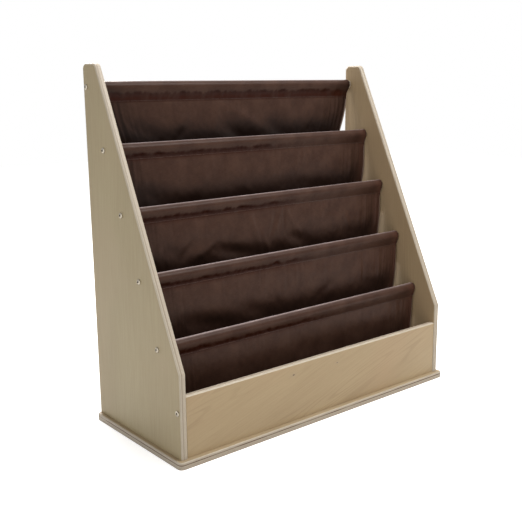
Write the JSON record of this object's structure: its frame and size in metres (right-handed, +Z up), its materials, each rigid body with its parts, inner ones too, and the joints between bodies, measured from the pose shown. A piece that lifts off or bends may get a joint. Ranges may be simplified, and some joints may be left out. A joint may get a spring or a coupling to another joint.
{
  "type": "sling bookshelf",
  "caption": "Birch plywood sling bookshelf for children: sloping side panels on a base board, cloth slings over cross rods as tiered book pockets, and a low front bin.",
  "frame": {"origin": "on the floor under the middle of the base board", "axes": "+X across the bookshelf, to the right seen from the front; +Y from the front to the back; +Z up"},
  "size_m": [0.964, 0.404, 0.936],
  "materials": {
    "birch_ply": "clear satin lacquer on birch plywood, straight grain, pale ply edges",
    "birch_rod": "sanded birch dowel, unlacquered",
    "sling_cloth": "dark brown plain-weave polyester canvas with a slight sheen",
    "screw_steel": "bright nickel-plated steel",
    "hidden_screw_zinc": "zinc-plated steel"
  },
  "bodies": {
    "root": {"base_board": "birch_ply", "side_panel_left": "birch_ply", "side_panel_right": "birch_ply", "front_panel": "birch_ply", "rod_1": "birch_rod", "rod_2": "birch_rod", "rod_3": "birch_rod", "rod_4": "birch_rod", "rod_5": "birch_rod", "lower_rod": "birch_rod", "sling_1": "sling_cloth", "sling_2": "sling_cloth", "sling_3": "sling_cloth", "sling_4": "sling_cloth", "sling_5": "sling_cloth", "rod_screw_left_1": "screw_steel", "rod_screw_left_2": "screw_steel", "rod_screw_left_3": "screw_steel", "rod_screw_left_4": "screw_steel", "rod_screw_left_5": "screw_steel", "rod_screw_right_1": "screw_steel", "rod_screw_right_2": "screw_steel", "rod_screw_right_3": "screw_steel", "rod_screw_right_4": "screw_steel", "rod_screw_right_5": "screw_steel", "front_screw_left": "screw_steel", "front_screw_right": "screw_steel", "base_screw_left_1": "hidden_screw_zinc", "base_screw_left_2": "hidden_screw_zinc", "base_screw_left_3": "hidden_screw_zinc", "base_screw_right_1": "hidden_screw_zinc", "base_screw_right_2": "hidden_screw_zinc", "base_screw_right_3": "hidden_screw_zinc", "base_screw_front_1": "hidden_screw_zinc", "base_screw_front_2": "hidden_screw_zinc", "base_screw_front_3": "hidden_screw_zinc"}
  },
  "joints": []
}
